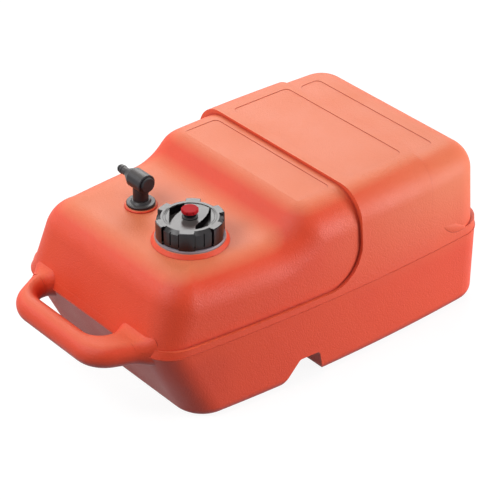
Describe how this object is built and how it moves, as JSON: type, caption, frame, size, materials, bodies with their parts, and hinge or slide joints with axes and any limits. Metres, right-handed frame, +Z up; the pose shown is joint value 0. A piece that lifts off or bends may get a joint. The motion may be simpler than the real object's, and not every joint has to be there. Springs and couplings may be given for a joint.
{
  "type": "outboard fuel tank",
  "caption": "Portable red fuel tank with a carrying handle, a black screw cap with a vent knob, and a swivelling pick-up elbow with a hose barb.",
  "frame": {"origin": "on the floor, under the middle of the tank's overall length and width", "axes": "+X from the handle to the rear wall, +Y from the filler cap to the pick-up elbow, +Z up"},
  "size_m": [0.571, 0.326, 0.2372],
  "materials": {
    "red_tank": "satin, fine moulded grain",
    "grey_ring": "satin",
    "black_cap": "moulded, half gloss",
    "black_fitting": "moulded, half gloss",
    "red_knob": "moulded, half gloss",
    "black_rubber": "matt",
    "steel": "bright",
    "brass": "turned",
    "white_plastic": "natural"
  },
  "bodies": {
    "tank": {"tank_body": "red_tank", "neck_ring": "grey_ring", "pickup_flange": "black_fitting", "flange_gasket": "black_rubber"},
    "cap_lift": {"cap_gasket": "black_rubber"},
    "cap": {"cap_shell": "black_cap", "vent_stem": "black_cap", "vent_washer": "black_rubber", "vent_nut": "black_cap", "vent_baffle": "black_cap"},
    "vent_lift": {"vent_seal": "black_rubber"},
    "vent": {"vent_knob": "red_knob", "vent_screw": "black_cap"},
    "elbow": {"elbow_body": "black_fitting", "swivel_o_ring": "black_rubber", "swivel_clip": "steel", "end_plug": "black_fitting", "plug_o_ring": "black_rubber", "valve_seat": "brass", "check_spring": "steel", "pickup_tube": "white_plastic", "strainer_cage": "white_plastic", "strainer_screen": "steel"},
    "ball": {"check_ball": "steel"}
  },
  "joints": [
    {"name": "cap_rise", "type": "slide", "parent": "tank", "child": "cap_lift", "axis": [0, 0, 1], "range_m": [0, 0.0075]},
    {"name": "cap_turn", "type": "hinge", "parent": "cap_lift", "child": "cap", "pos_m": [-0.113, -0.057, 0.2], "axis": [0, 0, 1], "range_deg": [0, 540]},
    {"name": "vent_rise", "type": "slide", "parent": "cap", "child": "vent_lift", "axis": [0, 0, 1], "range_m": [0, 0.003]},
    {"name": "vent_turn", "type": "hinge", "parent": "vent_lift", "child": "vent", "pos_m": [-0.113, -0.057, 0.2], "axis": [0, 0, 1], "range_deg": [0, 540]},
    {"name": "elbow_swivel", "type": "hinge", "parent": "tank", "child": "elbow", "pos_m": [-0.111, 0.0415, 0.2], "axis": [0, 0, 1], "continuous": true},
    {"name": "ball_lift", "type": "slide", "parent": "elbow", "child": "ball", "axis": [0, 0, 1], "range_m": [0, 0.002], "stiffness_N_per_m": 25, "springref_m": -0.003, "deforming": ["check_spring"]}
  ],
  "couplings": [
    {"joint": "cap_rise", "follows": "cap_turn", "m_per_rad": 0.00079577},
    {"joint": "vent_rise", "follows": "vent_turn", "m_per_rad": 0.00031831}
  ]
}
